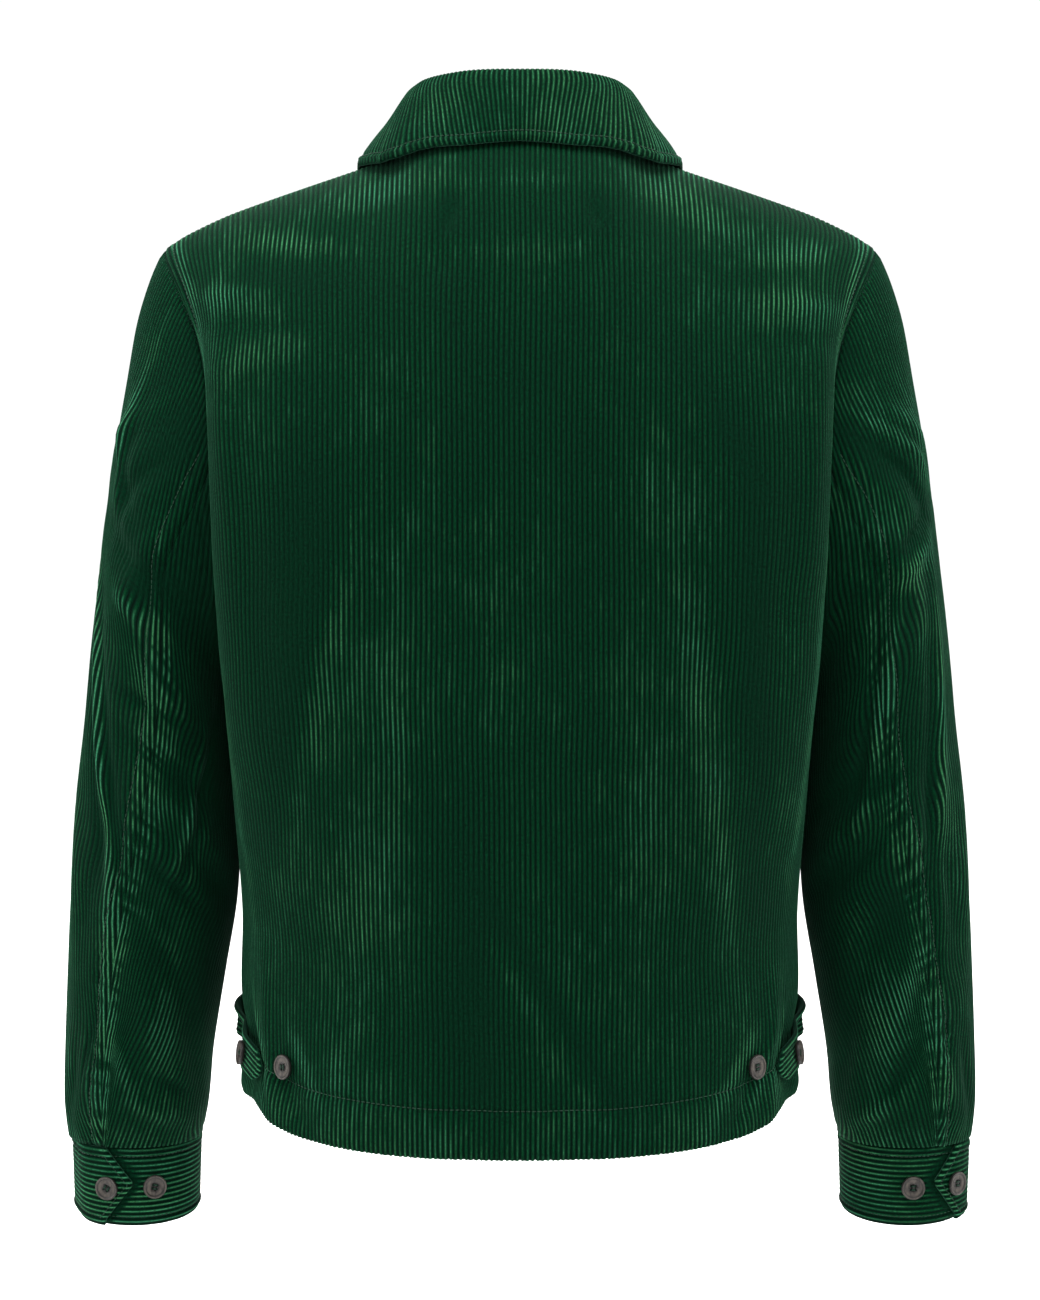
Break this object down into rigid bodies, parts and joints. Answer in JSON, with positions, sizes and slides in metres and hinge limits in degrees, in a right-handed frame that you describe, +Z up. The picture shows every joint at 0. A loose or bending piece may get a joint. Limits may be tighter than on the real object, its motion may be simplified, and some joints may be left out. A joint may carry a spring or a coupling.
{
  "type": "corduroy jacket, filled out as worn",
  "caption": "Waist-length wide-wale corduroy jacket, hollow and filled out, with a turned-down collar, two-piece sleeves, buttoned cuffs and buttoned side tabs.",
  "frame": {"origin": "middle of the neck opening, level with the points where the shoulder seams meet the collar", "axes": "+X to the wearer's right, +Y the way the wearer faces, +Z up; the picture looks along +Y at the back"},
  "size_m": [0.613, 0.2953, 0.765],
  "materials": {
    "corduroy": "bottle-green cotton corduroy, eight wales to the inch",
    "button": "grey-brown horn effect, satin"
  },
  "bodies": {
    "root": {"back": "corduroy", "left_front": "corduroy", "right_front": "corduroy", "collar": "corduroy", "left_top_sleeve": "corduroy", "right_top_sleeve": "corduroy", "left_under_sleeve": "corduroy", "right_under_sleeve": "corduroy", "left_cuff": "corduroy", "right_cuff": "corduroy", "left_side_tab": "corduroy", "right_side_tab": "corduroy", "front_button_1": "button", "front_button_2": "button", "front_button_3": "button", "front_button_4": "button", "front_button_5": "button", "front_button_6": "button", "left_cuff_buttoned_button": "button", "left_cuff_spare_button": "button", "left_tab_button": "button", "left_waist_button": "button", "right_cuff_buttoned_button": "button", "right_cuff_spare_button": "button", "right_tab_button": "button", "right_waist_button": "button"}
  },
  "joints": []
}
